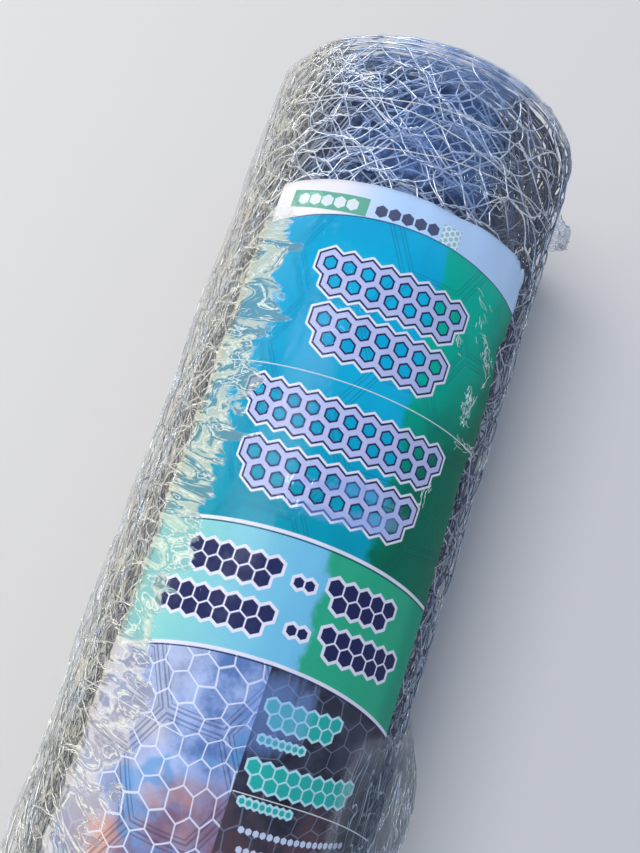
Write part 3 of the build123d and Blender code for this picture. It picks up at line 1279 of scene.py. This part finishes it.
draw = np.random.default_rng(121)
reach = np.linspace(-0.5, 0.5, CREASE_POINTS)
laid = []
for start, end, spread, heading, scatter, count, longest in CREASES:
    share = draw.uniform(0, 1, (count, 1))
    round_mm = np.radians(start[0] + (end[0] - start[0]) * share) * film_radius / MM
    down_mm = start[1] + (end[1] - start[1]) * share
    aside = draw.normal(0, spread, (2, count, 1)).clip(-2 * spread, 2 * spread)
    round_mm, down_mm = round_mm + aside[0], down_mm + aside[1]
    length = longest * draw.uniform(0.3, 1, (count, 1))
    way = np.radians(heading + draw.normal(0, scatter, (count, 1)))
    way = way + draw.normal(0, CREASE_BEND, (count, 1)) * reach
    angle = (round_mm + length * reach * np.cos(way)) * MM / film_radius
    laid.append(on_film(angle, film_end - (down_mm + length * reach * np.sin(way)) * MM))
# Painted glint: near-white and nearly opaque, with the rest of the shine rendered from the lamps
# and the sky.
crease_material, place, drive = new_material("film_crease", Roughness=0.2, Alpha=0.9, Metallic=0.6)
drive("Base Color", place.cloud(90).rises(0.4, 0.6).between(ink(222, 236, 246), ink(250, 252, 240)))
make_film_cords("film_creases", laid, CREASE_WIDTH, 3, crease_material)

# %% [markdown]
# ## The film's loose corner
#
# Near the head end, halfway down the tight side, a corner of the film was never sealed
# down. It sticks out as a small crumpled flap. It is a grid that starts along a line on
# the sleeve and narrows to its tip.

# %% Crumple the loose corner
FLAP_ANGLE = np.radians(90)
FLAP_ROOT = (457 * MM, 426 * MM)  # where its root runs, along y
FLAP_REACH, FLAP_DROP = 14.5 * MM, 8 * MM
FLAP_TIP = 0.35  # where its tip lies over the root, from the end away from the rim
FLAP_TAPER = 0.72  # how far its sides draw together towards the tip
FLAP_TUCK = 0.4 * MM  # how far its root lies inside the sleeve

across, outwards, corner = point_grid(36, 24)
root_y = FLAP_ROOT[0] + (FLAP_ROOT[1] - FLAP_ROOT[0]) * across
tip_y = FLAP_ROOT[1] + FLAP_TIP * (FLAP_ROOT[0] - FLAP_ROOT[1])
y = root_y + (tip_y - root_y) * FLAP_TAPER * outwards
crumple = waves(across * 30, outwards * 14, 16, 3, 14, seed=111) * MM * (0.3 + outwards)
ragged_tip = 1 - 0.2 * wander(across, 0.5, 0.08, 7, seed=112).clip(0, 2)
reach_out = film_radius - FLAP_TUCK + FLAP_REACH * outwards * ragged_tip
x = reach_out * np.sin(FLAP_ANGLE) + 0.2 * crumple
z = axis_height + reach_out * np.cos(FLAP_ANGLE) - FLAP_DROP * outwards**1.5 + 0.8 * crumple
points = np.stack([x, y + 0.5 * crumple, z], axis=-1).reshape(-1, 3)
flap_material, place, drive = new_material("film_flap", Roughness=0.2, Metallic=0.6)
creased = place.cloud(420, detail=4, distortion=1.0)
drive("Alpha", 0.3 + 0.6 * creased.rises(0.42, 0.58))
drive("Base Color", creased.between(ink(190, 200, 212), ink(250, 250, 252)))
make_film("film_flap", points, [grid_faces(corner.T)], flap_material)

# %% [markdown]
# ## The strip's cut end
#
# The strip's outer corner is bound off: its cut wires are wound loosely round each other
# in a bundle that runs in from the rim, and their tails stick out of it.

# %% Bind the cut end
BUNDLE = ((-48, 0.5), (-40, 6.0), (-29, 17.0), (-17, 28.0))  # degrees, mm from the end
BUNDLE_STRANDS, BUNDLE_POINTS = 9, 70
BUNDLE_LOOSE = 2.0 * MM
TAILS, TAIL_POINTS = 120, 6

degrees, distance = np.array(BUNDLE).T
share = np.linspace(0, 1, BUNDLE_POINTS)
bundle_angle = np.radians(np.interp(share, np.linspace(0, 1, len(BUNDLE)), degrees))
bundle_y = film_end + END_BULGE - np.interp(share, np.linspace(0, 1, len(BUNDLE)), distance) * MM
end_limit = film_end + END_BULGE - WIRE
strand_share = np.arange(BUNDLE_STRANDS)[:, None] * 7.0 + share * 2.4


def strays(seed):
    """How each strand strays from the bundle's middle line, about 1 either way."""
    return wander(strand_share, 1.6, 0.5, 9, seed=seed)


strand_y = (bundle_y + BUNDLE_LOOSE * strays(102)).clip(None, end_limit)
strand_radius = roll_radius - WIRE + 0.6 * BUNDLE_LOOSE * strays(103).clip(-1.5, 1.3)
strand_angle = bundle_angle + BUNDLE_LOOSE * strays(104) / roll_radius
strands = around_axis(strand_angle, strand_radius, strand_y)
bundle = wires(strands, outwards_at(strand_angle), WIRE / 2)

draw = np.random.default_rng(101)
root = (draw.uniform(0, 1, TAILS) ** 1.5 * (BUNDLE_POINTS - 1)).astype(int)
reach = np.linspace(0, 1, TAIL_POINTS)
tail_length = draw.uniform(3, 14, (TAILS, 1)) * MM
heading = draw.uniform(-pi, pi, (TAILS, 1)) + draw.normal(0, 0.7, (TAILS, 1)) * reach
tail_y = bundle_y[root][:, None] + tail_length * reach * np.sin(heading)
tail_angle = bundle_angle[root][:, None] + tail_length * reach * np.cos(heading) / roll_radius
tail_radius = roll_radius - WIRE + draw.uniform(-1.5, 1.2, (TAILS, 1)) * MM * reach
tail_paths = around_axis(tail_angle, tail_radius, tail_y.clip(None, end_limit))
tails = wires(tail_paths, outwards_at(tail_angle), WIRE / 2)
make_netting("cut_end", *joined([bundle, tails]))

# %% [markdown]
# ## The floor and the light
#
# The roll lies on a plain pale floor, under a sky that is pale at the horizon and a little
# blue overhead, with a wide soft lamp above it and a warmer one low on the left.

# %% Set the stage
FLOOR_HALF = 12.0
HAZE_STARTS, HAZE_FULL = 0.9, 3.5  # how far from the roll the floor fades into the horizon
floor_mesh = bpy.data.meshes.new("floor")
floor_corners = FLOOR_HALF * np.array([(-1, -1, 0), (1, -1, 0), (1, 1, 0), (-1, 1, 0)])
floor_mesh.from_pydata(floor_corners, [], [(0, 1, 2, 3)])
floor = bpy.data.objects.new("floor", floor_mesh)
bpy.context.scene.collection.objects.link(floor)
floor_material, place, drive = new_material(
    "floor", Base_Color=ink(234, 230, 224), Roughness=1.0, Specular_IOR_Level=0.0
)
floor_mesh.materials.append(floor_material)

HORIZON, ZENITH = ink(226, 229, 232), ink(176, 200, 240)
SKY_LIGHT, SKY_SEEN = 0.50, 0.85  # its strength as it lights the roll, and as it is seen


def seen_directly(tree):
    """1 for a ray from the camera, off a mirror or through a pane, and 0 for scattered light."""
    rays = tree.nodes.new("ShaderNodeLightPath").outputs
    names = ("Is Camera Ray", "Is Glossy Ray", "Is Transmission Ray")
    camera_ray, mirrored, through = (Field(tree, rays[name]) for name in names)
    return camera_ray.most(mirrored).most(through)


# Far off, the floor fades into the horizon.
tree = floor_material.node_tree
floor_x, floor_y, _ = place.parts()
far_off = ((floor_x * floor_x + floor_y * floor_y) ** 0.5).rises(HAZE_STARTS, HAZE_FULL)
haze = place.node("ShaderNodeEmission", {}, {"Color": HORIZON, "Strength": SKY_SEEN})
surface = Field(tree, tree.nodes["Principled BSDF"].outputs[0])
far_off = far_off * seen_directly(tree)
faded = place.node("ShaderNodeMixShader", {}, {0: far_off, 1: surface, 2: haze})
tree.links.new(faded.socket, tree.nodes["Material Output"].inputs["Surface"])

world = bpy.data.worlds.new("sky")
bpy.context.scene.world = world
world.use_nodes = True
tree = world.node_tree
direction = Field(tree, tree.nodes.new("ShaderNodeTexCoord").outputs["Generated"])
sky_colour = direction.parts()[2].rises(0.0, 0.9).between(HORIZON, ZENITH)
sky_strength = SKY_LIGHT + (SKY_SEEN - SKY_LIGHT) * seen_directly(tree)
sky = tree.nodes["Background"]
tree.links.new(sky_colour.socket, sky.inputs["Color"])
tree.links.new(sky_strength.socket, sky.inputs["Strength"])


def soft_lamp(name, location, width, height, power, colour):
    """An oblong soft lamp that points at the middle of the photographed half."""
    lamp = bpy.data.lights.new(name, "AREA")
    lamp.shape, lamp.size, lamp.size_y = "RECTANGLE", width, height
    lamp.energy, lamp.color = power, colour
    holder = bpy.data.objects.new(name, lamp)
    holder.location = location
    aim = Vector((0, 0.2, axis_height)) - Vector(location)
    holder.rotation_euler = aim.to_track_quat("-Z", "Y").to_euler()
    bpy.context.scene.collection.objects.link(holder)


soft_lamp("overhead", (-1.5, 0.5, 3.1), 1.7, 1.7, 66, (0.98, 0.98, 1.0))
soft_lamp("low_left", (-2.4, 0.5, 1.15), 2.2, 0.9, 24, (1.0, 0.91, 0.76))

bpy.context.scene.view_settings.view_transform = "Standard"

# %% Print the triangle count and finish
print("triangles in all", sum(triangle_counts.values()))
